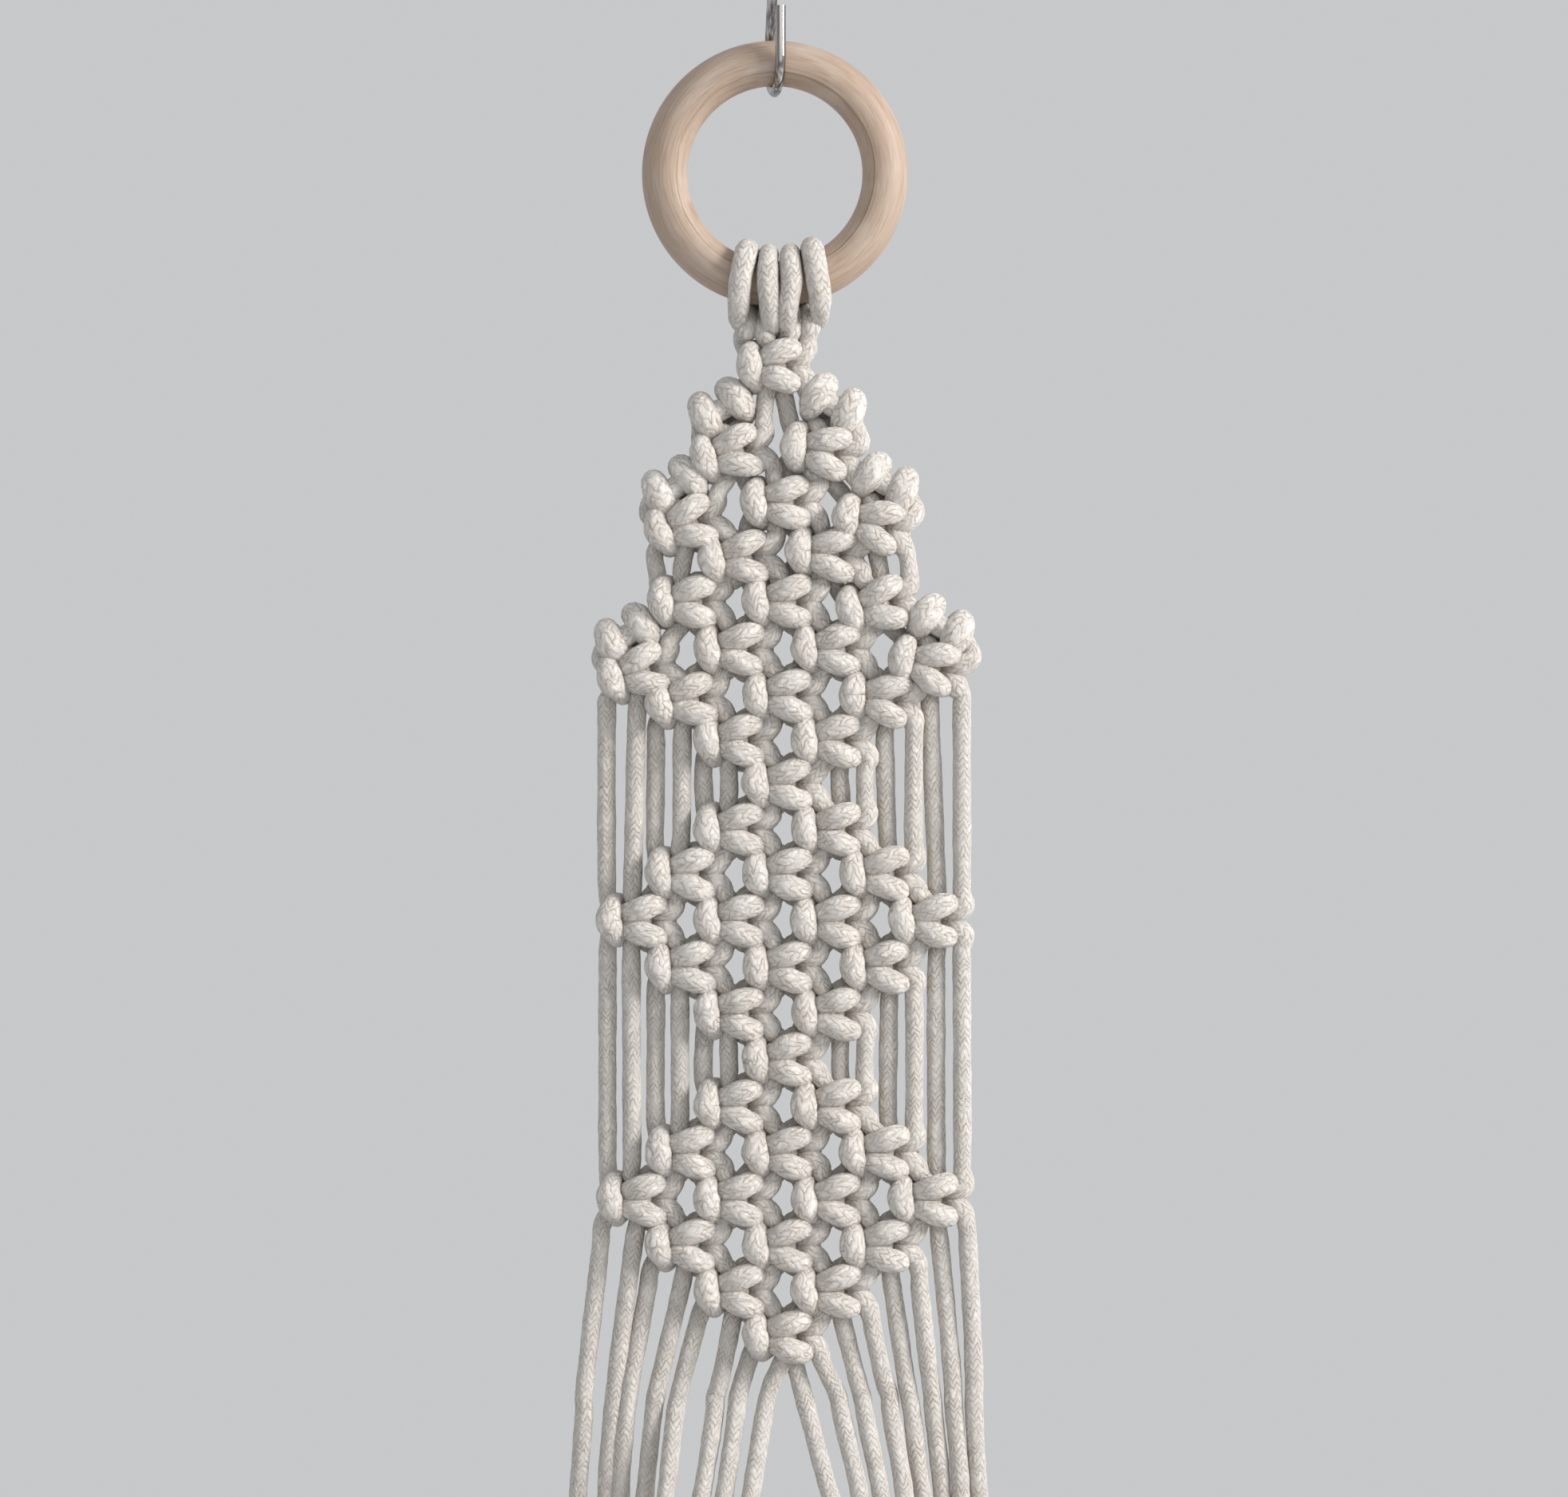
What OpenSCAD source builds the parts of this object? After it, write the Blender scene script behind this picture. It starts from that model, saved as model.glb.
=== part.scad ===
// Hanging macrame planter: hook, turned ring, eight knotted cords, pot, gathering knot and tassel.

/* [Ring] */
// Outside diameter of the wooden ring
ring_d = 70; // [64:1:80]
// Width of the ring's wood, from its hole to its rim
ring_w = 12; // [10:0.5:13]

/* [Hook] */
// Overall height of the S-shaped hook
hook_h = 80; // [60:1:110]
// Thickness of the hook's wire
wire_d = 2.7; // [2:0.1:4]
// How far the hook is turned about the vertical
hook_turn = 10; // [0:1:12]

/* [Cord] */
// Thickness of the cord where it runs free
cord_d = 5; // [4.2:0.1:5.2]
// Thickness of the cord where a knot draws it tight
tight_d = 3.2; // [2.8:0.1:3.2]

/* [Knots] */
// Distance between two knots side by side
knot_pitch = 25.5; // [25.5:0.25:28]
// Height from one row of knots to the next
row_pitch = 12.1; // [12.1:0.1:13]

/* [Pot] */
// Outside diameter of the pot at its rim
pot_d = 114; // [108:1:116]
// Outside diameter of the pot at its foot
pot_foot_d = 84; // [70:1:86]
// Height of the pot
pot_h = 105; // [95:1:108]
// Thickness of the pot's wall
pot_wall = 5; // [3:0.5:8]

/* [Tassel] */
// Height of the wrapped gathering knot
gather_h = 32; // [24:1:40]
// Length of the tassel's tails
tail_l = 170; // [120:5:220]

/* [Hidden] */
$fn = 24;

seat_gap = 0.15;       // between the ring and the hook that carries it
loop_gap = 1.3;        // between the ring and the cords that hang from it
flex_gap = 1.2;        // between the two halves of a cord where it bends
cord_gap = 0.3;        // between two cords, or a cord and what it rests on

// The ring's section is a circle flattened on the side of the hole.
ring_body_r = ring_w * 0.533;
ring_inner_r = ring_w * 0.588;
ring_line_r = ring_d / 2 - ring_body_r;

// The hook hangs by the inside of its upper bend, at the origin.
hook_bend_r = ring_body_r + wire_d / 2 + 0.9;
hook_top_z = -(hook_bend_r - wire_d / 2);
hook_low_z = hook_top_z - (hook_h - 2 * hook_bend_r - wire_d);
ring_z = hook_low_z - hook_bend_r + wire_d / 2 + seat_gap - (ring_d / 2 - ring_w);

// Heights below here are measured from the ring's centre.
last_row_z = -305.7;
split_z = -322;        // where the cords bend between the panel and the cradle
tie_z = [-446, -520];  // the two rows of knots that hold the pot
rim_z = -459;
foot_z = rim_z - pot_h;
gather_z = foot_z - 34;
tail_z = gather_z - gather_h;
half_pitch = knot_pitch / 2;
hook_tip = 13.2;         // the straight end of each bend of the hook
bundle_r = cord_d * 2.63;      // sixteen cords side by side in a ring
wrap_r = bundle_r + cord_d / 2 + 0.1;
dome_r = 14;           // the round underside of the gathering knot, about the tassel's pivot
dome_z = tail_z + 4;
// Five tails hang inside and eleven round them.
function tail_place(s) =
    s % 3 == 2 ? [cord_d * 0.92, 72 * floor(s / 3)] : [cord_d * 2, 360 / 11 * (s - 1 - floor(s / 3))];

// Each cord's name, its two strands, counted from the left where they leave the panel, and the knot
// (row, column) above which it is looped on: the ring's two cords have none.
cords = [
    ["ring_cord_left", 1, 8, [-1, -1]], ["ring_cord_right", 9, 16, [-1, 1]],
    ["upper_cord_left", 6, 7, [1, -1]], ["upper_cord_right", 10, 11, [1, 1]],
    ["middle_cord_left", 4, 5, [2, -2]], ["middle_cord_right", 12, 13, [2, 2]],
    ["lower_cord_left", 2, 3, [5, -3]], ["lower_cord_right", 14, 15, [5, 3]]
];

// A knot is its row, its column in half pitches and the strands it ties:
// the left working cord, the two fillers and the right working cord.
function row_z(row) = row == 0 ? -52 : row == 1 ? -73 : last_row_z + (20 - row) * row_pitch;
top_knots = [
    [0, 0, [1, 8, 9, 16]],
    [1, -1, [1, 6, 7, 8]], [1, 1, [9, 10, 11, 16]],
    [2, -2, [1, 4, 5, 6]], [2, 0, [7, 8, 9, 10]], [2, 2, [11, 12, 13, 16]],
    [3, -1, [5, 6, 7, 8]], [3, 1, [9, 10, 11, 12]],
    [4, -2, [1, 4, 5, 6]], [4, 0, [7, 8, 9, 10]], [4, 2, [11, 12, 13, 16]]
];
// From the fifth row on, the rows grow and shrink between four knots and one.
function away(row) = abs((row - 2) % 6 - 3);
lattice = [
    for (row = [5 : 20]) for (column = [away(row) - 3 : 2 : 3 - away(row)])
        [row, column, [for (i = [0 : 3]) 2 * column + 7 + i]]
];
knots = concat(top_knots, lattice);

// The way of the left working cord through the upper half of a knot, and of a filler.
// The front is -Y. The right working cord and the other filler are these turned half round.
working_way = [
    [-8.3, 4.6, 1.8], [-5.4, 0.6, 2.3], [-0.8, -6.3, 1.9], [6.4, -5.5, 6.2], [8.3, -0.3, 5.8], [10.8, 1, 0.9]
];
filler_way = [[1.2, -2.0, 5.7]];
function both_halves(way) =
    concat(way, [for (i = [len(way) - 1 : -1 : 0]) [way[i][0], way[i][1], -way[i][2]]]);
function half_round(way) = [for (p = way) [-p[0], -p[1], p[2]]];
function way_of(role) =
    role == 0 ? both_halves(working_way) :
    role == 1 ? both_halves(filler_way) :
    role == 2 ? half_round(both_halves(filler_way)) : half_round(both_halves(working_way));

// A cord that comes from, or goes on to, a knot further off than the next row keeps clear of the
// loops beside it.
function rows_of(s) = [for (k = knots) for (t = k[2]) if (t == s) k[0]];
function outermost(s) = s == 1 || s == 16;
function near_row(s, row) = !outermost(s) && row != 0 && len(search(row, rows_of(s))) > 0;
function joins_at(s, row) = row > 0 && row == min(rows_of(s));
clear_of_loops = [[-11.7, 4.2, 6.5], [-3.4, -2, 8.5], [3.4, 2, 8.5], [11.7, -4.2, 6.5]];
function straight_on(s, row, up) =
    up > 0 ? joins_at(s, row) || (near_row(s, row - 1) && row != 1) :
    near_row(s, row + 1) || looped_on(s, row + 1);
function aside(s, row, role, up) =
    let (p = clear_of_loops[role])
    straight_on(s, row, up) ? [] : [[p[0], p[1], p[2] * up]];
function strand_in_row(s, row) = [
    for (k = knots) if (k[0] == row) for (role = [0 : 3]) if (k[2][role] == s)
        for (p = concat(aside(s, row, role, 1), way_of(role), aside(s, row, role, -1)))
            [k[1] * half_pitch + p[0], p[1], row_z(row) + p[2]]
];
// The outermost strands pass under the loops of the extra cords.
function loop_out(row) = row == 1 ? 4 : 3;
function loop_h(row) = row == 1 ? 10.5 : 9.7;
function looped_on(s, row) = row > 1 && outermost(s) && len([for (c = cords) if (c[3][0] == row) c]) > 0;
function under_loop(row) =
    concat(row == 1 ? [[0, 0.8, 12]] : [], [[loop_out(row), 0, loop_h(row)], [9.4, 3, 9.8]]);
function carried(s, row) = !outermost(s) ? [] : [
    for (c = cords) if (c[3][0] == row && c[3][1] * (s - 8) > 0) for (q = under_loop(row))
        [c[3][1] * half_pitch + q[0] * sign(c[3][1]), -q[1] * sign(c[3][1]), row_z(row) + q[2]]
];
// Where each strand leaves the panel for the cords round the pot.
split_x = [-51.5, -44, -38.5, -31.5, -25.5, -15.5, -9.5, -2, 7.5, 16.5, 23, 30, 35.5, 41.5, 47, 52.5];
function split_point(s) = [split_x[s - 1], 0, split_z];
function panel_strand(s) = concat(
    [for (row = [0 : 20]) for (p = concat(carried(s, row), strand_in_row(s, row))) p],
    [split_point(s) + [0, 0, 2.5], split_point(s)]
);

// A lark's head on the ring: from one end up the back, over, down the front, under to the back,
// behind the two ends, and the same way back to the other end.
head_x = 7.7;
function ring_under(x) = -sqrt(pow(ring_line_r, 2) - pow(x, 2));
function head_leg(side, x) =
    let (a = ring_body_r + loop_gap + tight_d / 2, z = ring_under(side * head_x + 3.4 * x))
    [[2.0 * x, a, z - a - 4.5], [2.0 * x, a, z + a, a - 0.2], [3.4 * x, -a, z + a, a - 0.2],
        [4.6 * x, -a, z - a, 3], [5.8 * x, a + tight_d + cord_gap, z - a - 0.5, 3]];
function head_way(side) = [
    for (p = concat(head_leg(side, -1), backward(head_leg(side, 1)))) [p[0] + side * head_x, p[1], p[2], p[3]]
];
// An extra cord goes over the outermost strand, one half in front of it and one behind.
function loop_way(row, column) =
    let (x = column * half_pitch + loop_out(row) * sign(column), z = row_z(row) + loop_h(row))
    let (a = tight_d + cord_gap)
    [[x + 0.6, -a, z - 2], [x, -a, z + a, a - 0.1], [x, a, z + a, a - 0.1], [x - 0.6, a, z - 2]];
function backward(way) = [for (i = [len(way) - 1 : -1 : 0]) way[i]];
function panel_way(c) = concat(
    backward(panel_strand(c[1])),
    c[3][0] < 0 ? head_way(c[3][1]) : loop_way(c[3][0], c[3][1]),
    panel_strand(c[2])
);

function last_of(way) = way[len(way) - 1];

// The pot's outside radius at a height.
function pot_r(z) = (pot_foot_d + (pot_d - pot_foot_d) * (z - foot_z) / pot_h) / 2;

// The knots that hold the pot: height, distance from the middle, direction seen from above, strands,
// and for the lower ones their strands' direction in the gathering knot.
arm_r = pot_r(rim_z) + 4;
net_r = pot_r(tie_z[1]) + 8.7;
arm_ties = [
    [tie_z[0], arm_r, 160, [1, 2, 3, 4]], [tie_z[0], arm_r, 236, [5, 6, 7, 8]],
    [tie_z[0], arm_r, 314, [9, 10, 11, 12]], [tie_z[0], arm_r, 372, [13, 15, 14, 16]]
];
net_ties = [
    [tie_z[1], net_r, 198, [3, 4, 5, 6], 198], [tie_z[1], net_r, 275, [7, 8, 9, 10], 288],
    [tie_z[1], net_r, 348, [11, 12, 13, 15], 18], [tie_z[1], net_r, 91, [14, 16, 1, 2], 108]
];
role_side = [-1.5, -0.5, 0.5, 1.5];
far_end = [[-11.7, 4.2, 8], [-3.4, -2, 10], [3.4, 2, 10], [11.7, -4.2, 8]];
function round_at(distance, direction, z) = [distance * cos(direction), distance * sin(direction), z];
// A point of the knot's drawing, with its front turned away from the pot.
function on_tie(tie, p) =
    let (out = round_at(1, tie[2], 0))
    out * (tie[1] - p[1]) + [-out[1], out[0], 0] * p[0] + [0, 0, tie[0] + p[2]];
function tie_way(tie, role) = [
    for (p = concat([far_end[role]], way_of(role), [[far_end[role][0], far_end[role][1], -far_end[role][2]]]))
        on_tie(tie, p)
];
function tie_of(ties, s) = [for (t = ties) for (role = [0 : 3]) if (t[3][role] == s) [t, role]][0];
function part_way(p, q, share) = p * (1 - share) + q * share;
// The corners of one strand round the pot, each with the cord's radius there.
function free(p) = [p, cord_d / 2];
function tight(p) = [p, tight_d / 2];
function cradle_way(s) =
    let (arm = tie_of(arm_ties, s), net = tie_of(net_ties, s), start = split_point(s) - [0, 0, flex_gap])
    let (p = last_of(tie_way(arm[0], arm[1])), q = tie_way(net[0], net[1])[0])
    let (turn = (atan2(q[1], q[0]) - atan2(p[1], p[0]) + 540) % 360 - 180)
    let (foot = round_at(pot_foot_d / 2 + 4, net[0][2] + role_side[net[1]] * 8, foot_z - 2))
    let (end = round_at(bundle_r, net[0][4] + role_side[net[1]] * 22.5, gather_z))
    concat(
        [free(start), free(start - [0, 0, 2]), free(part_way(start, tie_way(arm[0], arm[1])[0], 0.9))],
        [for (p = tie_way(arm[0], arm[1])) tight(p)],
        [free(round_at(pot_r(rim_z) + 3.7, atan2(p[1], p[0]) + turn / 2, (p[2] + q[2]) / 2))],
        [for (p = tie_way(net[0], net[1])) tight(p)],
        [free(foot), free(part_way(foot, end, 0.85)), free(end)]
    );

function unit(v) = v / norm(v);
// A corner that states a bend radius becomes three points on that bend.
function place_of(p) = [p[0], p[1], p[2]];
function rounded(way) = [
    for (i = [0 : len(way) - 1])
        let (p = place_of(way[i]), bend_r = way[i][3])
        for (q = bend_r == undef ? [p] :
            let (u = unit(p - place_of(way[i - 1])), v = unit(place_of(way[i + 1]) - p))
            let (half = acos(u * v) / 2, cut = bend_r * tan(half))
            [p - u * cut, p + unit(v - u) * bend_r * (1 / cos(half) - 1), p + v * cut])
            q
];
// The vector v, carried round the turn from direction a to direction b without twisting.
function carry(v, a, b) =
    let (axis = cross(a, b))
    v * (a * b) + cross(axis, v) + axis * (axis * v) / (1 + a * b);
// A cord along a list of points: one ring of corners at each point, joined by flats.
module cord(way, radii) {
    n = 5;
    last = len(way) - 1;
    dir = [for (i = [0 : last - 1]) unit(way[i + 1] - way[i])];
    along = [for (i = [0 : last]) unit(dir[max(i - 1, 0)] + dir[min(i, last - 1)])];
    across = unit(cross(along[0], abs(along[0][1]) < 0.9 ? [0, 1, 0] : [1, 0, 0]));
    spokes = [
        for (i = 0, v = across; i <= last; i = i + 1, v = carry(v, along[i - 1], along[min(i, last)])) v
    ];
    points = [
        for (i = [0 : last]) for (k = [0 : n - 1])
            way[i] + (spokes[i] * cos(360 / n * k) + cross(along[i], spokes[i]) * sin(360 / n * k)) * radii[i]
    ];
    flats = [
        for (i = [0 : last - 1]) for (k = [0 : n - 1])
            [i * n + k, (i + 1) * n + k, (i + 1) * n + (k + 1) % n, i * n + (k + 1) % n]
    ];
    ends = [[for (k = [0 : n - 1]) k], [for (k = [n - 1 : -1 : 0]) last * n + k]];
    polyhedron(points, concat(flats, ends));
}

module from_ring() color("ivory") translate([0, 0, ring_z]) children();
module panel_cord(c) from_ring() {
    way = rounded(panel_way(c));
    cord(way, [for (p = way) tight_d / 2]);
}
module cradle_cord(c) from_ring() for (s = [c[1], c[2]]) {
    way = cradle_way(s);
    cord([for (p = way) p[0]], [for (p = way) p[1]]);
}
module tails(c) from_ring() for (s = [c[1], c[2]]) {
    place = tail_place(s);
    start = sqrt(pow(dome_r + cord_gap + 0.1, 2) - pow(place[0] - cord_d / 2, 2));
    translate(round_at(place[0], place[1], dome_z - start - tail_l))
        cylinder(h = tail_l, d = cord_d);
}

// The bundle of cords, with a cord wound round it that stands out in turns.
module gathering_knot() from_ring() {
    turns = floor(gather_h / cord_d);
    rotate_extrude() {
        translate([0, tail_z])
            square([wrap_r, gather_h]);
        for (i = [0 : turns - 1])
            translate([wrap_r, tail_z + gather_h * (i + 0.5) / turns])
                circle(d = gather_h / turns - 0.05);
    }
    intersection() {
        translate([0, 0, dome_z])
            sphere(r = dome_r);
        translate([0, 0, tail_z - 12])
            cylinder(h = 13, r = dome_r);
    }
}

module pot() color("peru") translate([0, 0, ring_z + foot_z])
    rotate_extrude() {
        inner = pot_foot_d / 2 - pot_wall;
        polygon([
            [0, 0], [pot_foot_d / 2 - 1.5, 0], [pot_foot_d / 2, 1.5], [pot_d / 2 - 1, pot_h - 1.5],
            [pot_d / 2 - 1.5, pot_h], [pot_d / 2 - pot_wall + 1, pot_h], [pot_d / 2 - pot_wall, pot_h - 1.5],
            [inner + 1, pot_wall + 1], [inner - 1, pot_wall], [0, pot_wall]
        ]);
    }

module ring() color("burlywood") translate([0, 0, ring_z]) rotate([90, 0, 0])
    rotate_extrude()
        translate([ring_line_r, 0])
            intersection() {
                circle(r = ring_body_r);
                translate([ring_w * 0.125, 0])
                    circle(r = ring_inner_r);
            }

// An S of one wire: two round bends joined by a shank that runs slantwise between them.
module s_hook() color("silver") rotate([0, 0, hook_turn]) translate([0, 0, (hook_top_z + hook_low_z) / 2]) {
    half = (hook_top_z - hook_low_z) / 2;
    lean = asin(hook_bend_r / half);
    for (end = [0, 180]) rotate([end, 0, 0]) translate([0, 0, -half])
        rotate([90, 0, 90])
            rotate([0, 0, 180])
                rotate_extrude(angle = 180 + lean)
                    translate([hook_bend_r, 0])
                        circle(d = wire_d);
    for (end = [0, 180]) rotate([end, 0, 0]) translate([0, -hook_bend_r, -half])
        cylinder(h = hook_tip, d = wire_d);
    rotate([lean, 0, 0])
        cylinder(h = 2 * half * cos(lean) + 0.1, d = wire_d + 0.04, center = true);
}

s_hook();
ring();
for (c = cords) {
    panel_cord(c);
    cradle_cord(c);
    tails(c);
}
pot();
gathering_knot();
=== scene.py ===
import math
import random

import bpy
import numpy as np
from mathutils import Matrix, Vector


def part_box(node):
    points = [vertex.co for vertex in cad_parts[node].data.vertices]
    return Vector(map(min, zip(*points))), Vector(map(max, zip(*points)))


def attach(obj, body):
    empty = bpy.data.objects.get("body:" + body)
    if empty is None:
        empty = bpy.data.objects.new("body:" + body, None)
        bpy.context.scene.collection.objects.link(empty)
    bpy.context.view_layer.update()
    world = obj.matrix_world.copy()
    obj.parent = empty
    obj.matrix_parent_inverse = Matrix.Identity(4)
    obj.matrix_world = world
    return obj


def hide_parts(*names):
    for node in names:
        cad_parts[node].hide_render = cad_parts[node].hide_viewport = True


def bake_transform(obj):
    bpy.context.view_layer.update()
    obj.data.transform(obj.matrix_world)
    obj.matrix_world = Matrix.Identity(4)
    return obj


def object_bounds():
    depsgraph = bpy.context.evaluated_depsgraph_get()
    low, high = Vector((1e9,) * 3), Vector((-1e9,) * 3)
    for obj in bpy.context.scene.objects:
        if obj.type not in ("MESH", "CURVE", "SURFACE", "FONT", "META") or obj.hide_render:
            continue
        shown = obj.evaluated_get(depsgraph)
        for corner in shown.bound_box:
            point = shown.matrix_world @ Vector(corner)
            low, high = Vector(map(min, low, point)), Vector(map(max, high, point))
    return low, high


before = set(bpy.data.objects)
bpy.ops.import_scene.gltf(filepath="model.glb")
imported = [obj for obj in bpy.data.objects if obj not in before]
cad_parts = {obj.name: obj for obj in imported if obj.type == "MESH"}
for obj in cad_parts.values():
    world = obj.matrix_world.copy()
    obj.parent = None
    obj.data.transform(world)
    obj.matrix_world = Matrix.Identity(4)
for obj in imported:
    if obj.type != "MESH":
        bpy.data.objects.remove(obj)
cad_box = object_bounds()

# Lengths are in millimetres from the ring's centre until a mesh is made.
MM = 0.001
ring_low, ring_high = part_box("ring")
RING_Z = (ring_low[2] + ring_high[2]) / 2 / MM
RING_LINE_R = 28.6       # from the ring's centre to the middle of its wood
RING_BODY_R = 6.4        # half the thickness of its wood
CORD_R = 2.45            # the cord's radius where it runs free
PITCH = 12.75            # half the distance between two knots side by side
SPLIT_Z = -322           # where the cords bend between the panel and the cradle
random.seed(7)


def to_frame(points):
    """Points from the ring's centre, in millimetres, to metres in the frame."""
    p = np.array(points, float)[:, :3] * MM
    p[:, 2] += RING_Z * MM
    return p


# ---------------------------------------------------------------- the knotted panel

# A cord's name, its two strands counted from the left, and the row and column of the knot above
# which it is looped on. The ring's two cords have no row, and -1 or 1 for their side of the ring.
CORDS = [
    ("ring_cord_left", 1, 8, None, -1), ("ring_cord_right", 9, 16, None, 1),
    ("upper_cord_left", 6, 7, 1, -1), ("upper_cord_right", 10, 11, 1, 1),
    ("middle_cord_left", 4, 5, 2, -2), ("middle_cord_right", 12, 13, 2, 2),
    ("lower_cord_left", 2, 3, 5, -3), ("lower_cord_right", 14, 15, 5, 3),
]
ROW_Z = [-50.8, -73, -86.8, -100.4, -112.8, -125.2, -137.4, -149.2, -160.6, -172.6, -184.2,
         -196.6, -208.6, -220.8, -233, -245.2, -257.4, -269.8, -281.8, -293.8, -305.7]


def knots():
    """(row, column in half pitches, the four strands from left to right) of every square knot.

    The first five rows take in the cords that are looped on between them. From the sixth on, a
    row has one to four knots, and a knot's column gives its strands.
    """
    tied = [
        (0, 0, (1, 8, 9, 16)), (1, -1, (1, 6, 7, 8)), (1, 1, (9, 10, 11, 16)),
        (2, -2, (1, 4, 5, 6)), (2, 0, (7, 8, 9, 10)), (2, 2, (11, 12, 13, 16)),
        (3, -1, (5, 6, 7, 8)), (3, 1, (9, 10, 11, 12)),
        (4, -2, (1, 4, 5, 6)), (4, 0, (7, 8, 9, 10)), (4, 2, (11, 12, 13, 16)),
    ]
    for row in range(5, 21):
        away = abs((row - 2) % 6 - 3)
        for column in range(away - 3, 4 - away, 2):
            leftmost = 2 * column + 7
            tied.append((row, column, tuple(range(leftmost, leftmost + 4))))
    return tied


KNOTS = knots()

# The upper half of a knot: x, depth, height and the cord's radius there, for the left and the right
# working cord and for the left filler. The lower half mirrors it.
LEFT_CORD = [(-9.1, 2.4, 5.4, 2.4), (-7.8, 2.4, 3.2, 2.4), (-4.8, -0.4, 1.7, 2.6), (-1.8, -4.2, 2.3, 3.0),
             (1.2, -5.6, 3.4, 3.3), (3.9, -4.8, 4.3, 3.05), (5.9, -0.8, 4.2, 2.4), (7.2, 2.8, 2.2, 2.3),
             (7.5, 4.0, 0, 2.3)]
RIGHT_CORD = [(10.1, -1.8, 5.9, 2.5), (9.1, -1.9, 3.9, 2.9), (7.4, -1.7, 2.1, 2.9), (4.8, 0.6, 1.4, 2.6),
              (0.8, 4.5, 1.9, 2.4), (-3.4, 4.4, 3.5, 2.4), (-5.6, 1.8, 4.9, 2.4), (-6.4, -1.8, 4.5, 2.5),
              (-7.1, -4.6, 3.1, 2.9), (-7.6, -5.9, 1.2, 3.4), (-7.7, -6.0, 0, 3.5)]
FILLER = [(-1.9, -1.1, 5.9, 2.4), (0.0, -1.3, 3.4, 2.2), (1.2, -1.2, 0, 2.2)]
BUMP_SLANT = 0.14        # how far the right cord's bump leans, for each unit of its height
# Knots near the upper corners have settled: how far each moved to the right, down, and turned.
SETTLED = {
    (0, 0): (-1.0, 0, 0), (1, -1): (-0.1, 0.6, 0.18), (1, 1): (-1.9, 0.3, -0.16),
    (2, -2): (0.2, 5.6, 0.26), (2, 2): (-1.6, 5.6, -0.24),
    (3, -1): (1.3, 0.8, 0.08), (3, 1): (-1.2, -0.3, -0.10), (4, -2): (0.5, 0, 0), (4, 2): (-0.9, 0.8, 0.20),
    (5, -3): (0, 6.0, 0.26), (5, 3): (-0.2, 4.5, -0.28), (6, -2): (0, 1.2, 0.12), (6, 2): (0, 0.9, -0.14),
}
# Where a working cord meets the knot when it comes straight down from a knot far above.
FROM_ABOVE = {0: (-8.4, 1.6, 7.4, CORD_R), 3: (8.5, -1.8, 7.4, CORD_R)}
FAR_ABOVE = 15           # a strand's knots further apart than this have a free run between them
FIRST_KNOT_WIDTH = 0.89  # the first knot is pulled narrower than the rest
LAST_SPREAD = (-1.3, 1.4, 0, 1.4)  # how far the strand of each role turns aside below its last knot
PANEL_TOP_Z = -50


def knot_way(role):
    """Points through a knot at the origin for role 0 to 3, from the left strand to the right one."""
    half = LEFT_CORD if role == 0 else RIGHT_CORD if role == 3 else FILLER
    way = half + [(x, y, -z, r) for x, y, z, r in half[-2::-1]]
    if role == 3:
        way = [(x - BUMP_SLANT * z if y < 0 and x < 0 else x, y, z, r) for x, y, z, r in way]
    return [(-x, -y, z, r) for x, y, z, r in way] if role == 2 else way


def lean(z):
    """How far right of the ring's centre the panel hangs: 1 at its top, 2.5 from 60 below that."""
    down = min(1, max(0, (PANEL_TOP_Z - z) / 60))
    return 1.0 + 1.5 * down


def knot_centre(row, column):
    """x and z of a knot's middle, after it has settled."""
    aside, down, turn = SETTLED.get((row, column), (0, 0, 0))
    z = ROW_Z[row] - down
    return column * PITCH + lean(z) + aside, z


def turned(point, row, column):
    """A point of a knot after the knot has turned; at the upper corners the outer side hangs."""
    x, y, z, radius = point
    turn = SETTLED.get((row, column), (0, 0, 0))[2]
    return (x * math.cos(turn) - z * math.sin(turn), y, x * math.sin(turn) + z * math.cos(turn), radius)


# Half a lark's head on a strand, from the ends under it to the middle of the bar behind them: along
# the strand, depth, height and the cord's radius.
SHOULDER_HALF = [(1.9, 2.4, -6.0, 2.5), (2.4, 4.2, -1.6, 2.5), (3.3, 3.4, 2.2, 2.7), (4.0, 0.2, 3.6, 3.3),
                 (4.5, -2.8, 2.0, 3.9), (4.7, -3.4, -0.5, 4.1), (4.9, -2.4, -2.8, 3.6), (4.6, 0.6, -4.9, 2.6),
                 (3.2, 4.4, -5.0, 2.4)]
SHOULDER_BAR = (0, 7.6, -4.6, 2.4)
SHOULDER_SLOPE = 0.58    # how steeply the strand that carries the heads falls toward the outside


def head_way(centre, along):
    """A lark's head on a strand: up behind it, over, down in front, behind the two ends, and back.

    centre is (x, z) of the strand there, and along its direction.
    """
    a = Vector((along[0], 0, along[1])).normalized()
    up = Vector((-a.z, 0, a.x))

    def place(p, side):
        v = a * (side * p[0]) + up * p[2]
        return (centre[0] + v.x, p[1], centre[1] + v.z, p[3])
    left = [place(p, -1) for p in SHOULDER_HALF]
    right = [place(p, 1) for p in SHOULDER_HALF]
    return left + [place(SHOULDER_BAR, 1)] + right[::-1]


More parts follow.
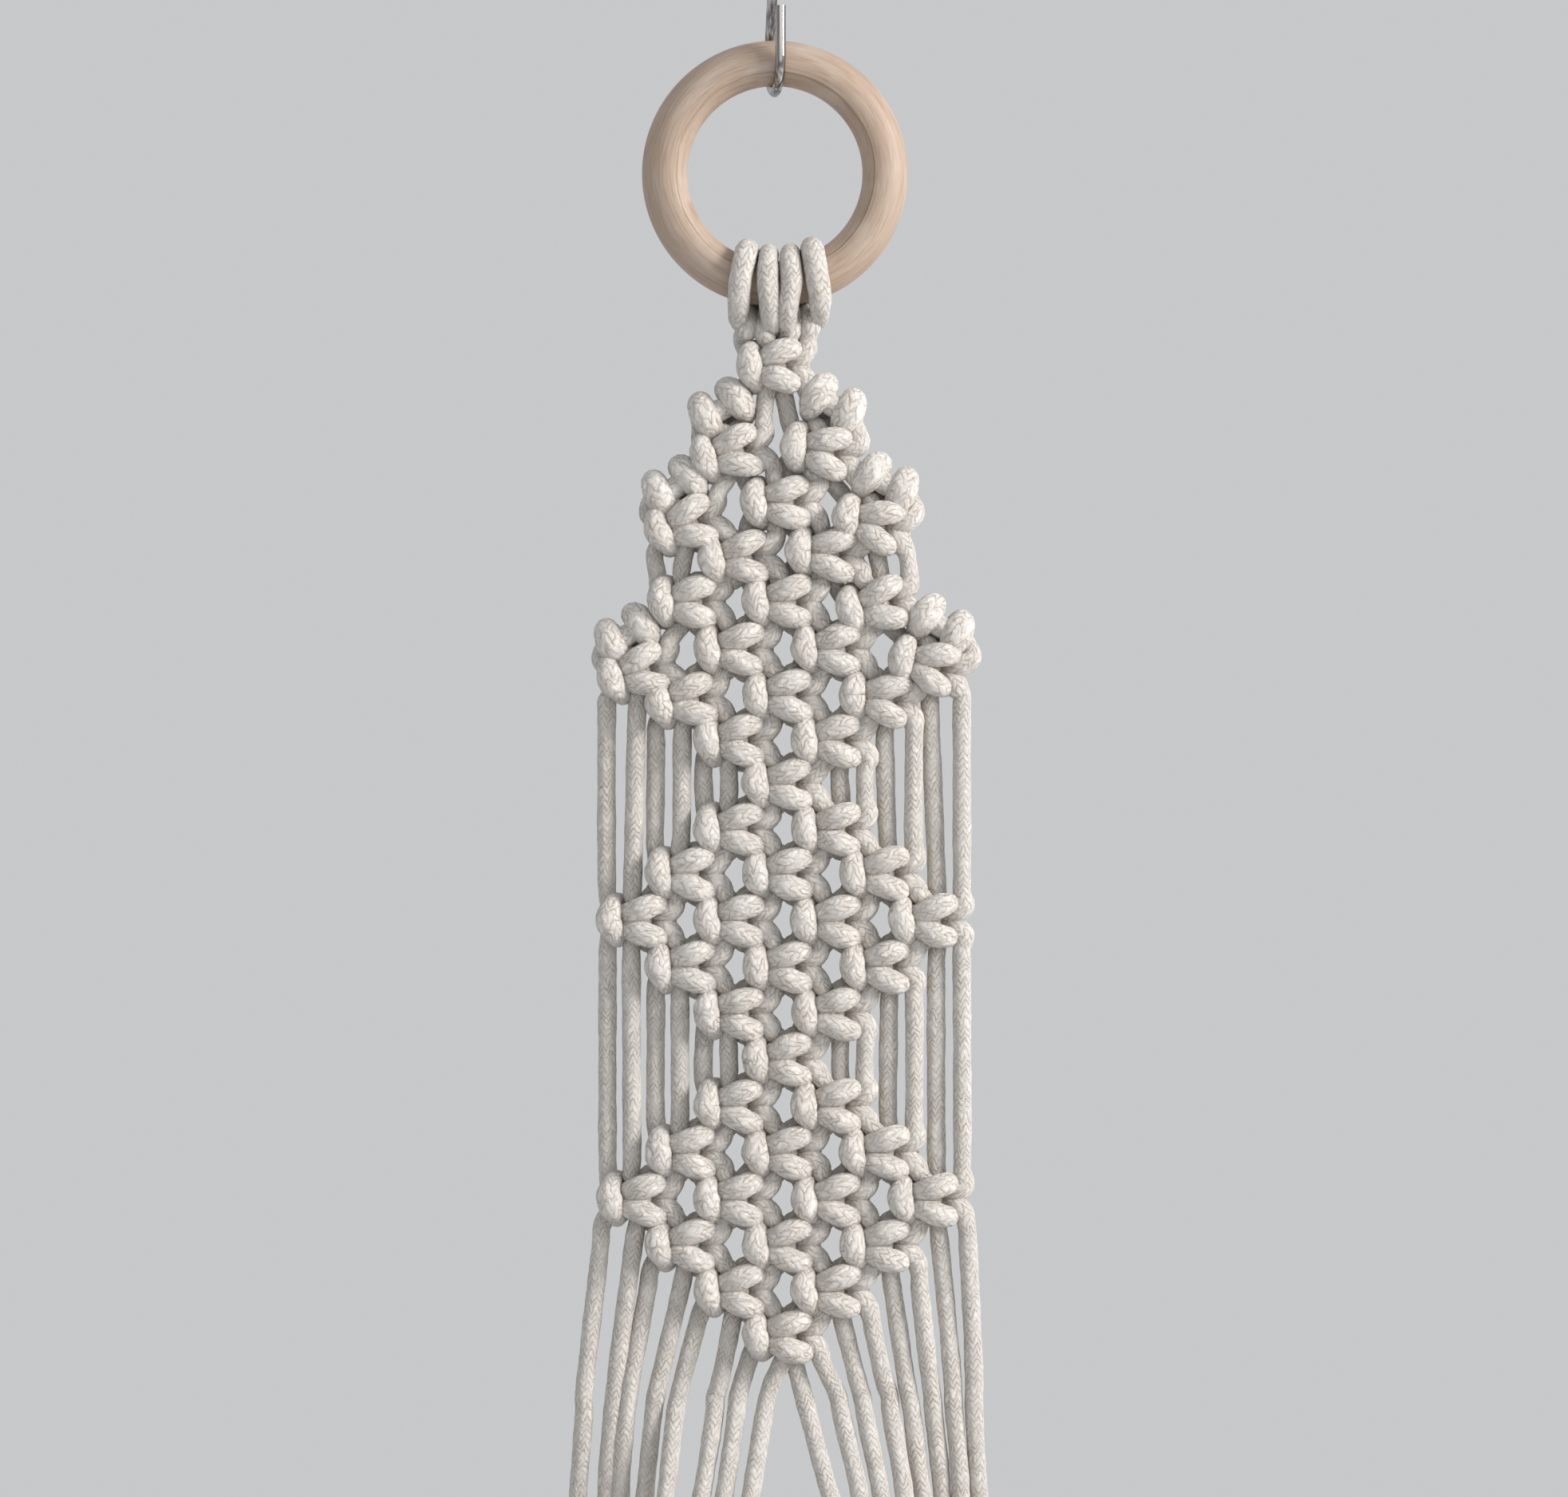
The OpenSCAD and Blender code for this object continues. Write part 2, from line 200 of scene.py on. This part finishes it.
# A lark's head on the ring: its outer and its inner half, from the end behind the ring over it, down
# in front and round behind the ends. Each point is x from the middle of the ring's cords, depth and
# height in lengths of REACH from the ring's own centre line, and the cord's radius.
REACH = RING_BODY_R + 2.75
OUTER_HALF = [
    (8.3, -0.20, -1.45, 2.9), (8.3, 0.10, -1.05, 2.8), (8.0, 0.75, -0.72, 2.6), (7.6, 1.0, -0.3, 2.6),
    (7.9, 0.76, 0.50, 2.7), (8.4, 0.0, 0.84, 2.9), (9.0, -0.78, 0.52, 3.1), (9.9, -1.0, -0.1, 3.1),
    (10.7, -0.86, -0.75, 3.0), (10.6, -0.30, -1.25, 2.7), (8.8, 0.70, -1.25, 2.4),
]
INNER_HALF = [
    (3.6, -0.25, -1.45, 2.9), (3.8, 0.10, -1.05, 2.8), (4.1, 0.75, -0.72, 2.6), (4.2, 1.0, -0.3, 2.6),
    (3.6, 0.76, 0.50, 2.6), (2.9, 0.0, 0.80, 2.7), (2.8, -0.78, 0.50, 2.8), (3.1, -1.0, -0.1, 2.9),
    (2.4, -0.84, -0.80, 2.8), (2.1, -0.30, -1.30, 2.6), (2.8, 0.70, -1.35, 2.4),
]
BEHIND_ENDS = (5.8, 1.35, -1.1, 2.4)
HEADS_ASIDE = 1.1        # how far right of the ring's centre the two heads sit


def ring_head(side):
    """The lark's head of one of the ring's two cords, from its left strand to its right one."""
    def place(p):
        x = side * p[0] + HEADS_ASIDE
        under = -math.sqrt(RING_LINE_R ** 2 - x ** 2)
        return (x, p[1] * REACH, under + p[2] * REACH, p[3])
    outer, inner = [place(p) for p in OUTER_HALF], [place(p) for p in INNER_HALF]
    way = outer + [place(BEHIND_ENDS)] + inner[::-1]
    return way if side < 0 else way[::-1]


def loop_place(row, column):
    """Where an extra cord is looped on the outermost strand: its side, and its head's middle."""
    x, z = knot_centre(row, column)
    side = math.copysign(1, column)
    out, up = (2.9, 12.2) if row == 1 else (3.2, 10.5)
    return side, (x + side * out, z + (up + 0.4 * side))


def start_way(cord):
    """The middle of a cord, from its left strand to its right one: a lark's head."""
    row, column = cord[3:]
    if row is None:
        return ring_head(column)
    side, centre = loop_place(row, column)
    return head_way(centre, (1, -SHOULDER_SLOPE * side))


def inside_heads(s, row):
    """Points of an outermost strand through the head that is looped on it just above a row's knot."""
    way = []
    for loop_row, loop_column in (cord[3:] for cord in CORDS):
        if loop_row == row and loop_column * (s - 8) > 0:
            side, (x, z) = loop_place(loop_row, loop_column)
            way += [(x - side * 4.6, -0.2, z + 2.6, 2.3), (x, -2.4, z - 0.5, 3.0),
                    (x + side * 5.4, -0.4, z - 3.0, 2.4)]
    return way


def strand_in_panel(s):
    """Points of one strand from its loop down to where it leaves the panel."""
    way = []
    mine = [k for k in KNOTS if s in k[2]]
    for i, (row, column, tied) in enumerate(mine):
        x, z = knot_centre(row, column)
        role = tied.index(s)
        if s in (1, 16):
            way += inside_heads(s, row)
        width = FIRST_KNOT_WIDTH if row == 0 else 1
        knot = [turned((p[0] * width, *p[1:]), row, column) for p in knot_way(role)]
        last = i + 1 == len(mine)
        if role in FROM_ABOVE:
            px, py, pz, pr = FROM_ABOVE[role]
            if i == 0 or ROW_Z[mine[i - 1][0]] - ROW_Z[row] > FAR_ABOVE:
                knot[0] = (px, py, pz, pr)
            if last or ROW_Z[row] - ROW_Z[mine[i + 1][0]] > FAR_ABOVE:
                knot[-1] = (px, py, -pz, pr)
        if last:
            knot[-1] = (knot[-1][0] + LAST_SPREAD[role], *knot[-1][1:])
        way += [(x + p[0], p[1], z + p[2], p[3]) for p in knot]
    return way


# ---------------------------------------------------------------- round the pot

# Where each strand, from left to right, crosses the height at which the panel ends.
SPLIT_X = [-50.2, -42.5, -38.5, -31.5, -25.5, -15.5, -9.5, -2, 7.5, 16.5, 23, 30, 35.5, 41.5, 47, 52.5]
# Height, distance from the middle, direction seen from above, and strands of the knots at the pot.
ARM_TIES = [(-446, 61, 160, (1, 2, 3, 4)), (-446, 61, 236, (5, 6, 7, 8)),
            (-446, 61, 314, (9, 10, 11, 12)), (-446, 61, 372, (13, 15, 14, 16))]
NET_TIES = [(-520, 57.2, 198, (3, 4, 5, 6)), (-520, 57.2, 275, (7, 8, 9, 10)),
            (-520, 57.2, 348, (11, 12, 13, 15)), (-520, 57.2, 91, (14, 16, 1, 2))]
GATHER_Z = -598          # the top of the gathering knot
GATHER_H = 32
WRAPS = 5
WRAP_R = 15.4            # from its middle to the middle of the cord wound round it
# Distance from the middle and height, of a strand on its way through the gathering knot.
IN_GATHERING = ((14, 5), (10.4, -3), (9.6, -20), (9.8, -29))
TAIL_Z = GATHER_Z - GATHER_H
TAIL_L = 176             # about, because each tail is cut by hand
POT_FOOT_Z = -564
POT_FOOT_R = 42
POT_SIDE_R = 60.7        # where a strand passes between its two knots, outside the pot's wall


def round_at(distance, direction, z):
    """A point at a distance from the middle, in a direction in degrees seen from above."""
    turn = math.radians(direction)
    return (distance * math.cos(turn), distance * math.sin(turn), z)


def tie_way(tie, role):
    """Points through a knot that faces outward from the pot."""
    z, distance, direction, tied = tie
    turn = math.radians(direction)
    out = Vector((math.cos(turn), math.sin(turn), 0))
    beside = Vector((-out.y, out.x, 0))
    way = []
    for x, y, dz, r in knot_way(role):
        p = out * (distance - y) + beside * x
        way.append((p.x, p.y, z + dz, r))
    return way


def find_tie(ties, s):
    """The knot of a row that ties a strand, and the strand's role in it."""
    return next((tie, tie[3].index(s)) for tie in ties if s in tie[3])


def fan_point(x, depth):
    """Where a strand is just below the panel, as the strands spread toward the pot's four sides."""
    out = 8.3 - 0.135 * x if x > 0 else -4.6 - 0.06 * x
    return (x + out, 0.16 * depth, SPLIT_Z - 26)


def strand_in_cradle(s):
    """Points of one strand from the panel down round the pot into the gathering knot."""
    arm, net = find_tie(ARM_TIES, s), find_tie(NET_TIES, s)
    top, low = tie_way(*arm), tie_way(*net)
    a = math.degrees(math.atan2(top[-1][1], top[-1][0]))
    b = math.degrees(math.atan2(low[0][1], low[0][0]))
    turn = (b - a + 540) % 360 - 180
    middle = round_at(POT_SIDE_R, a + turn / 2, (top[-1][2] + low[0][2]) / 2)
    at_foot = net[0][2] + (net[1] - 1.5) * 8
    foot = [round_at(POT_FOOT_R + out, at_foot, POT_FOOT_Z + up) for out, up in ((7, 8), (1, -5))]
    around = 164 + 22.5 * (4 * NET_TIES.index(net[0]) + net[1])
    gathered = [round_at(distance, around, GATHER_Z + up) for distance, up in IN_GATHERING]
    x = SPLIT_X[s - 1]
    return [(x, 0, SPLIT_Z), fan_point(x, top[0][1])] + top + [middle] + low + foot + gathered


# ---------------------------------------------------------------- meshes

def lengths_between(points):
    """The distance from each point to the next."""
    return np.linalg.norm(np.diff(points, axis=0), axis=1)


def smooth_way(points, step):
    """A smooth curve through the points (x, y, z, radius), sampled about every step.

    Its pace follows the root of each gap, which keeps it from swinging out at tight bends.
    """
    p = np.array(points, float)
    gap = np.sqrt(np.maximum(lengths_between(p[:, :3]), 1e-4))
    slope = np.diff(p, axis=0) / gap[:, None]
    tangent = np.empty_like(p)
    tangent[0], tangent[-1] = slope[0], slope[-1]
    before, after = gap[:-1, None], gap[1:, None]
    tangent[1:-1] = (slope[1:] * before + slope[:-1] * after) / (before + after)
    out = []
    for i in range(len(p) - 1):
        length = np.linalg.norm(p[i + 1, :3] - p[i, :3])
        u = np.linspace(0, 1, max(2, int(math.ceil(length / step)) + 1))[:-1, None]
        out.append(
            (2 * u ** 3 - 3 * u ** 2 + 1) * p[i] + (u ** 3 - 2 * u ** 2 + u) * gap[i] * tangent[i]
            + (3 * u ** 2 - 2 * u ** 3) * p[i + 1] + (u ** 3 - u ** 2) * gap[i] * tangent[i + 1])
    return np.concatenate(out + [p[-1:]])


def uneven(run):
    """How far a hand-laid cord's radius strays along its run."""
    phase = random.uniform(0, 6)
    return 0.05 * np.sin(run / 2.3 + phase) + 0.04 * np.sin(run / 0.83 + 2 * phase) + 0.05 * np.sin(run / 5.1)


def untwisted(centre):
    """Two directions across a curve at each of its points, which don't turn round it."""
    along = np.gradient(centre, axis=0)
    along /= np.linalg.norm(along, axis=1)[:, None]
    across = np.empty_like(centre)
    start = np.cross(along[0], (0.3, 0.9, 0.2))
    across[0] = start / np.linalg.norm(start)
    for i in range(1, len(centre)):
        v = across[i - 1] - along[i] * np.dot(across[i - 1], along[i])
        across[i] = v / np.linalg.norm(v)
    return across, np.cross(along, across)


def tube(name, way, sides=14):
    """A tube along way (x, y, z, radius), with its ends closed; UV runs round it and along it."""
    centre = to_frame(way)
    count = len(centre)
    run = np.concatenate([[0], np.cumsum(lengths_between(centre))]) / MM
    radius = (way[:, 3] + uneven(run)) * MM
    across, third = untwisted(centre)
    angle = 2 * math.pi * np.arange(sides) / sides
    section = across[:, None] * np.cos(angle)[None, :, None] + third[:, None] * np.sin(angle)[None, :, None]
    points = (centre[:, None] + section * radius[:, None, None]).reshape(-1, 3)
    points = np.concatenate([points, centre[:1], centre[-1:]])
    k, nxt = np.arange(sides), (np.arange(sides) + 1) % sides
    rows = np.arange(count - 1)[:, None] * sides
    quads = np.stack([rows + k, rows + nxt, rows + sides + nxt, rows + sides + k], axis=-1).reshape(-1, 4)
    first, last = count * sides, count * sides + 1
    caps = [(first, int(b), int(a)) for a, b in zip(k, nxt)]
    caps += [(last, int((count - 1) * sides + a), int((count - 1) * sides + b)) for a, b in zip(k, nxt)]
    mesh = bpy.data.meshes.new(name)
    mesh.from_pydata(points.tolist(), [], quads.tolist() + caps)
    uv = np.empty((len(quads) * 4 + len(caps) * 3, 2))
    u = np.stack([k, k + 1, k + 1, k], axis=-1) / sides
    v = np.stack([run[:-1], run[:-1], run[1:], run[1:]], axis=-1)
    uv[:len(quads) * 4, 0] = np.broadcast_to(u[None], (count - 1, sides, 4)).reshape(-1)
    uv[:len(quads) * 4, 1] = np.repeat(v, sides, axis=0).reshape(-1)
    uv[len(quads) * 4:] = 0
    mesh.uv_layers.new(name="along").data.foreach_set("uv", uv.reshape(-1))
    mesh.polygons.foreach_set("use_smooth", np.ones(len(mesh.polygons), bool))
    mesh.validate()
    piece = bpy.data.objects.new(name, mesh)
    bpy.context.scene.collection.objects.link(piece)
    return piece


LONG_RUN = 11            # a run between two points that is longer than this is free, and hangs straight
RUN_END = 3.5            # to this far from its two ends


def runs_straight(points):
    """The points with the cord's radius filled in, and two more on every long free run."""
    way = []
    for p in points:
        p = tuple(p) if len(p) == 4 else (*p, CORD_R)
        gap = math.dist(p[:3], way[-1][:3]) if way else 0
        if gap > LONG_RUN:
            last = way[-1][:3]
            for share in (RUN_END / gap, 1 - RUN_END / gap):
                way.append((*[a + (b - a) * share for a, b in zip(last, p[:3])], CORD_R))
        way.append(p)
    return way


def make_cord(cord):
    """One cord from its left strand's end in the gathering knot, up, through its head and down."""
    name, first, second = cord[:3]
    up = strand_in_cradle(first)[::-1] + strand_in_panel(first)[::-1]
    down = strand_in_panel(second) + strand_in_cradle(second)
    way = runs_straight(up + start_way(cord) + down)
    loose = [tuple(c + random.uniform(-0.2, 0.2) for c in p[:3]) + p[3:] for p in way]
    piece = tube(name, smooth_way(loose, 1.0))
    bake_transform(piece)
    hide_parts(name + "_panel", name + "_cradle")
    piece.data.materials.append(COTTON)


def gathering_cord():
    """The cord wound round all sixteen strands, with both its ends tucked under the turns."""
    way = [(9.0, 3.0, GATHER_Z - 4.5, CORD_R), (12.6, -1.5, GATHER_Z - 2.6, CORD_R)]
    steps, edge = 22, 2.7
    for i in range(WRAPS * steps + 1):
        down = (GATHER_H - 2 * edge) * i / (WRAPS * steps)
        x, y, z = round_at(WRAP_R, -20 + 360 * i / steps, GATHER_Z - edge - down)
        way.append((x, y, z, 2.6))
    way += [(12.4, -1.5, GATHER_Z - GATHER_H + 3.2, CORD_R), (8.4, 3.0, GATHER_Z - GATHER_H + 5.5, CORD_R)]
    piece = tube("gathering_cord", smooth_way(way, 1.5))
    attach(piece, "cradle")
    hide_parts("gathering_knot")
    piece.data.materials.append(COTTON)


def tail(cord_name, strand):
    """One cut end of a cord, hanging in the tassel, where five hang inside and eleven round them."""
    steps, tucked = 14, 6
    inner = strand % 3 == 2
    away = 4.6 if inner else 10.2
    turn = 72 * (strand // 3) if inner else 360 / 11 * (strand - 1 - strand // 3)
    length = TAIL_L - tucked + random.uniform(-5, 5)
    drift, sway = random.uniform(-7, 7), random.uniform(0, 6)
    way = []
    for i in range(steps + 1):
        share = i / steps
        spread = away * (1 + 0.32 * share ** 0.7)
        x, y, z = round_at(spread, turn + drift * share, TAIL_Z + tucked - share * (length + tucked))
        x += 0.9 * share * math.sin(5 * share + sway)
        y += 0.9 * share * math.cos(4 * share + sway)
        way.append((x, y, z, CORD_R))
    way = smooth_way(way, 2.0)
    way[-3:, 3] *= 1.06
    piece = tube(f"{cord_name}_tail_{strand}", way)
    z = (RING_Z + TAIL_Z) * MM
    z + 0.002
    z - 0.014
    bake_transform(piece)
    piece.data.materials.append(COTTON)
    path = to_frame(way)
    return piece


def tassel():
    """The sixteen tails, two for each cord; the frame's own tails are hidden. A cord's
    first one stands for both of its solids.
    """
    for name, first, second in (cord[:3] for cord in CORDS):
        tails = [tail(name, first), tail(name, second)]
        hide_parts(name + "_tails")


# ---------------------------------------------------------------- materials

class Value:
    """A shader socket that Python arithmetic works on."""

    def __init__(self, shader, socket):
        self.shader, self.socket = shader, socket

    def math(self, operation, *others):
        return self.shader.node("ShaderNodeMath", {"operation": operation}, dict(enumerate((self,) + others)))

    def __add__(self, other): return self.math("ADD", other)
    def __radd__(self, other): return self.math("ADD", other)
    def __sub__(self, other): return self.math("SUBTRACT", other)
    def __rsub__(self, other): return self.shader.value(other).math("SUBTRACT", self)
    def __mul__(self, other): return self.math("MULTIPLY", other)
    def __rmul__(self, other): return self.math("MULTIPLY", other)
    def __truediv__(self, other): return self.math("DIVIDE", other)
    def __pow__(self, other): return self.math("POWER", other)


class Shader:
    """A material built from expressions, ending in one Principled shader."""

    def __init__(self, name):
        self.material = bpy.data.materials.new(name)
        self.material.use_nodes = True
        self.tree = self.material.node_tree
        self.principled = self.tree.nodes["Principled BSDF"]

    def feed(self, node, key, source):
        if isinstance(source, Value):
            self.tree.links.new(source.socket, node.inputs[key])
        else:
            node.inputs[key].default_value = source

    def node(self, kind, settings=(), inputs=(), output=0):
        made = self.tree.nodes.new(kind)
        for key, setting in dict(settings).items():
            setattr(made, key, setting)
        for key, source in dict(inputs).items():
            self.feed(made, key, source)
        return Value(self, made.outputs[output])

    def value(self, number):
        return self.node("ShaderNodeMath", {"operation": "ADD"}, {0: number, 1: 0.0})

    def mix(self, factor, one, other):
        kind = {"data_type": "RGBA"}
        return self.node("ShaderNodeMix", kind, {0: factor, 6: one, 7: other}, output=2)

    def noise(self, vector, scale, detail=3.0):
        inputs = {"Vector": vector, "Scale": scale, "Detail": detail}
        return self.node("ShaderNodeTexNoise", {}, inputs, output="Fac")

    def split(self, vector):
        x = self.node("ShaderNodeSeparateXYZ", {}, {0: vector})
        return [Value(self, x.socket.node.outputs[i]) for i in range(3)]

    def vector(self, x, y, z):
        return self.node("ShaderNodeCombineXYZ", {}, {0: x, 1: y, 2: z})

    def bump(self, height, distance, strength=1.0):
        made = self.node("ShaderNodeBump", {}, {"Height": height, "Distance": distance, "Strength": strength})
        self.feed(self.principled, "Normal", made)

    def finish(self, **constants):
        for key, setting in constants.items():
            self.feed(self.principled, key.replace("_", " "), setting)
        return self.material


def cotton():
    """Natural cotton, braided of fine plaits, two over two, with a few fibres standing out."""
    shader = Shader("cotton_braid")
    uv = shader.node("ShaderNodeUVMap", {"uv_map": "along"})
    u, v = shader.split(uv)[:2]
    place = shader.node("ShaderNodeTexCoord", output="Object")
    wander = (shader.noise(place, 210.0, 2.0) - 0.5) * 2.2
    stretch = (shader.noise(place, 330.0, 2.0) - 0.5) * 1.4
    plaits_round, plaits_per_mm = 12.0, 0.50
    round_it, along = u * plaits_round + stretch, v * plaits_per_mm + wander
    a, b = round_it + along, round_it - along
    over = ((a.math("FLOOR") + b.math("FLOOR")).math("FLOORED_MODULO", 4.0)).math("LESS_THAN", 2.0)
    fa, fb = a.math("FRACT") - 0.5, b.math("FRACT") - 0.5
    across = fa * over + fb * (1.0 - over)
    length = fb * over + fa * (1.0 - over)
    plait = 1.0 - across * across * 4.0
    own = a.math("FLOOR") * 0.37 + b.math("FLOOR") * 0.61
    fibres = shader.noise(shader.vector(across * 8.0 + own, length * 1.2, own * 3.1), 2.6, 3.0)
    lift = shader.noise(shader.vector(own, own * 1.7, v * 0.08), 3.0, 1.0)
    fuzz = shader.noise(place, 2200.0, 3.0)
    height = plait * (lift * 1.1 + 0.15) + fibres * 0.7 + fuzz * 0.45
    shader.bump(height, 0.0006, 1.0)
    patch = shader.noise(place, 30.0, 2.0)
    # Painted shade: the colour darkens toward the creases between plaits, to a warm brown.
    gap = ((1.0 - plait) ** 2.2) * (fibres * 1.4).math("MINIMUM", 1.0)
    # Noise that limits the painted crease shade to patches.
    crease_shade_patches = ((shader.noise(place, 260.0, 2.0) - 0.36) * 3.4).math("MAXIMUM", 0.0).math("MINIMUM", 1.0)
    # Painted shade: darker streaks where the fibre bumps dip.
    fibre_groove_shade = ((0.47 - fibres) * 5.5).math("MAXIMUM", 0.0) * 0.55
    light = shader.mix(patch, (0.86, 0.79, 0.71, 1), (0.91, 0.86, 0.80, 1))
    groove_shaded = shader.mix(fibre_groove_shade.math("MINIMUM", 0.6), light, (0.55, 0.455, 0.36, 1))
    # Mixes the painted crease shade into the cord's colour.
    colour = shader.mix((gap * crease_shade_patches * 1.6).math("MINIMUM", 0.9), groove_shaded, (0.44, 0.335, 0.245, 1))
    return shader.finish(Base_Color=colour, Roughness=0.92, Sheen_Weight=0.2, Sheen_Roughness=0.5)


def wood():
    """Pale turned wood: fine rings of grain along the turning, and a crease inside the rim."""
    shader = Shader("pale_wood")
    place = shader.node("ShaderNodeTexCoord", output="Object")
    x, y, z = shader.split(place)
    z = z - RING_Z * MM
    out = (x * x + z * z).math("SQRT")
    turning = shader.vector(x / out * 3.0, out * 2200.0 + y * 500.0, z / out * 3.0)
    grain = shader.noise(turning, 1.0, 4.0)
    bands = shader.noise(shader.vector(x / out * 2.2, out * 300.0 + y * 120.0, z / out * 2.2), 1.0, 2.0)
    warm = shader.noise(place, 26.0, 2.0)
    waver = shader.noise(shader.vector(x / out * 2.5, z / out * 2.5, 0.0), 1.0, 2.0) * 0.0012
    crease_r = 0.0266
    crease = (1.0 - (out - crease_r + waver).math("ABSOLUTE") * 3600.0).math("MAXIMUM", 0.0)
    pale = shader.mix(warm, (0.365, 0.255, 0.178, 1), (0.455, 0.355, 0.28, 1))
    darker = shader.mix(((grain - 0.47) * 2.2).math("MAXIMUM", 0.0), pale, (0.26, 0.155, 0.09, 1))
    banded = shader.mix(((bands - 0.5) * 1.5).math("MAXIMUM", 0.0), darker, (0.60, 0.52, 0.46, 1))
    # Painted shade: the colour darkens in the crease inside the rim; the bump below carves the crease itself.
    colour = shader.mix(crease * 0.35, banded, (0.22, 0.13, 0.08, 1))
    shader.bump(grain * 0.4 - crease, 0.0003, 0.6)
    return shader.finish(Base_Color=colour, Roughness=0.55)


def steel():
    """Bright drawn wire, with fine dark streaks along it."""
    shader = Shader("polished_steel")
    place = shader.node("ShaderNodeTexCoord", output="Object")
    x, y, z = shader.split(place)
    drawn = shader.noise(shader.vector(x * 1400.0, y * 1400.0, z * 30.0), 1.0, 2.0)
    bright = ((drawn - 0.42) * 4.0).math("MAXIMUM", 0.0)
    colour = shader.mix(bright, (0.20, 0.18, 0.17, 1), (0.62, 0.60, 0.58, 1))
    return shader.finish(Base_Color=colour, Metallic=1.0, Roughness=drawn * 0.12 + 0.06)


def clay():
    """Unglazed fired clay, a little cloudy, with pale grit."""
    shader = Shader("fired_clay")
    place = shader.node("ShaderNodeTexCoord", output="Object")
    cloud = shader.noise(place, 18.0, 4.0)
    grit = shader.noise(place, 700.0, 3.0)
    colour = shader.mix(cloud, (0.46, 0.20, 0.115, 1), (0.60, 0.31, 0.19, 1))
    colour = shader.mix(((grit - 0.62) * 3.0).math("MAXIMUM", 0.0), colour, (0.72, 0.47, 0.34, 1))
    shader.bump(grit, 0.0004, 0.5)
    return shader.finish(Base_Color=colour, Roughness=0.85)


COTTON, WOOD, STEEL, CLAY = cotton(), wood(), steel(), clay()


def dress(node, material):
    """Gives a solid from the frame its finish."""
    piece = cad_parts[node]
    piece.data.materials.clear()
    piece.data.materials.append(material)


# ---------------------------------------------------------------- camera, light and stage

def look_at(thing, target):
    """Turns a camera or a lamp toward a point."""
    thing.rotation_euler = (Vector(target) - thing.location).to_track_quat("-Z", "Y").to_euler()


def camera():
    """Straight in front of the knotted panel, with the ring and all the knots in view."""
    made = bpy.data.objects.new("camera", bpy.data.cameras.new("camera"))
    bpy.context.scene.collection.objects.link(made)
    view_x, view_z = 0.0024, (RING_Z - 151.3) * MM
    away, view_width, sensor = 1.7, 0.4128, 36
    made.location = (view_x, -away, view_z)
    look_at(made, (view_x, 0, view_z))
    made.data.sensor_width = sensor
    made.data.lens = sensor * away / view_width
    bpy.context.scene.camera = made


def area_light(name, place, target, size, power, colour=(1, 1, 1)):
    """A square lamp that shines toward a point."""
    data = bpy.data.lights.new(name, "AREA")
    data.size, data.energy, data.color = size, power, colour
    made = bpy.data.objects.new(name, data)
    made.location = place
    bpy.context.scene.collection.objects.link(made)
    look_at(made, target)


def studio_world():
    """Soft light from all round, which the camera and shiny pieces see as a plain grey wall."""
    world = bpy.data.worlds.new("studio")
    bpy.context.scene.world = world
    world.use_nodes = True
    tree = world.node_tree
    lit = tree.nodes["Background"]
    seen = tree.nodes.new("ShaderNodeBackground")
    path = tree.nodes.new("ShaderNodeLightPath")
    mix = tree.nodes.new("ShaderNodeMixShader")
    lit.inputs[0].default_value = (0.92, 0.96, 1.02, 1)
    lit.inputs[1].default_value = 0.64
    seen.inputs[0].default_value = (0.572, 0.580, 0.590, 1)
    shown = tree.nodes.new("ShaderNodeMath")
    shown.operation, shown.use_clamp = "ADD", True
    tree.links.new(path.outputs["Is Camera Ray"], shown.inputs[0])
    tree.links.new(path.outputs["Is Glossy Ray"], shown.inputs[1])
    tree.links.new(shown.outputs[0], mix.inputs[0])
    tree.links.new(lit.outputs[0], mix.inputs[1])
    tree.links.new(seen.outputs[0], mix.inputs[2])
    tree.links.new(mix.outputs[0], tree.nodes["World Output"].inputs[0])


def stage():
    """The floor, just below the tassel, and the lamps."""
    floor_z = cad_box[0][2] - 0.05
    bpy.ops.mesh.primitive_circle_add(vertices=96, radius=1.6, fill_type="NGON", location=(0, 0, floor_z))
    floor = bpy.context.object
    floor.name = "floor"
    shader = Shader("pale_floor")
    floor.data.materials.append(shader.finish(Base_Color=(0.62, 0.62, 0.62, 1), Roughness=0.9))
    middle = (0, 0, (RING_Z - 180) * MM)
    area_light("key_light", (2.1, -0.95, 0.65), middle, 1.0, 73, (1.0, 0.99, 0.975))
    area_light("fill_light", (0.3, -2.0, 0.3), middle, 1.6, 4)


bpy.context.scene.view_settings.view_transform = "Standard"
camera()
studio_world()
stage()
for cord in CORDS:
    make_cord(cord)
dress("ring", WOOD)
dress("s_hook", STEEL)
dress("pot", CLAY)
gathering_cord()
tassel()
